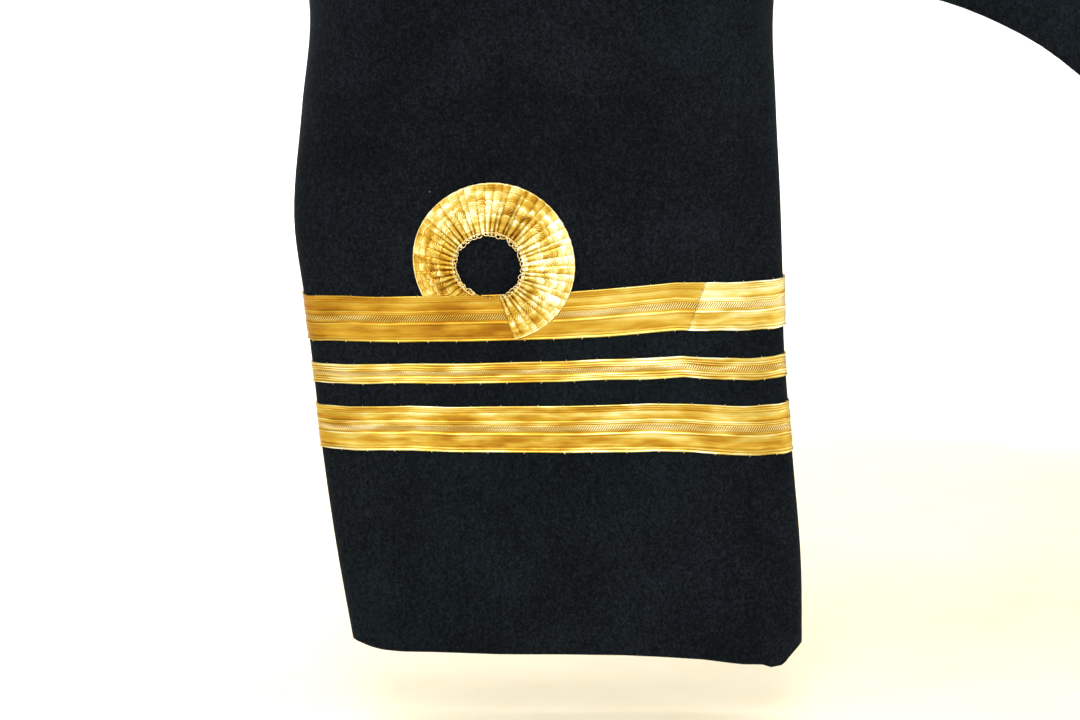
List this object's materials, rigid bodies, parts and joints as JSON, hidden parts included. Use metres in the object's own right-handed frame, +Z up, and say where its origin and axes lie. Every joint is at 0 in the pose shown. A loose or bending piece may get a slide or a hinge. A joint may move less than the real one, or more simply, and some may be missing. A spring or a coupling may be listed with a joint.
{
  "type": "mess jacket",
  "caption": "Short open naval evening jacket, filled out with no wearer: peaked lapels, pointed fronts, domed buttons, flat hanging sleeves with gold rank lace and a curl.",
  "frame": {"origin": "middle of the neck opening, on the body's axis, level with the neck ends of the shoulder seams, where a wearer carries the jacket", "axes": "+Z up along the wearer's back, -Y the way the fronts face, so +Y is the back, and +X the wearer's left"},
  "size_m": [0.585, 0.2708, 0.6851],
  "materials": {
    "navy_cloth": "matt wool cloth with a fine nap",
    "gold_lace": "woven gold wire lace, satin",
    "gilt_button": "polished gilt"
  },
  "bodies": {
    "root": {"front_right": "navy_cloth", "back_right": "navy_cloth", "lapel_right": "navy_cloth", "top_sleeve_right": "navy_cloth", "under_sleeve_right": "navy_cloth", "lace_lower_wide_right": "gold_lace", "lace_middle_narrow_right": "gold_lace", "lace_upper_wide_right": "gold_lace", "lace_curl_right": "gold_lace", "button_top_right": "gilt_button", "button_middle_right": "gilt_button", "button_bottom_right": "gilt_button", "front_left": "navy_cloth", "back_left": "navy_cloth", "lapel_left": "navy_cloth", "top_sleeve_left": "navy_cloth", "under_sleeve_left": "navy_cloth", "lace_lower_wide_left": "gold_lace", "lace_middle_narrow_left": "gold_lace", "lace_upper_wide_left": "gold_lace", "lace_curl_left": "gold_lace", "button_top_left": "gilt_button", "button_middle_left": "gilt_button", "button_bottom_left": "gilt_button", "collar": "navy_cloth"}
  },
  "joints": []
}
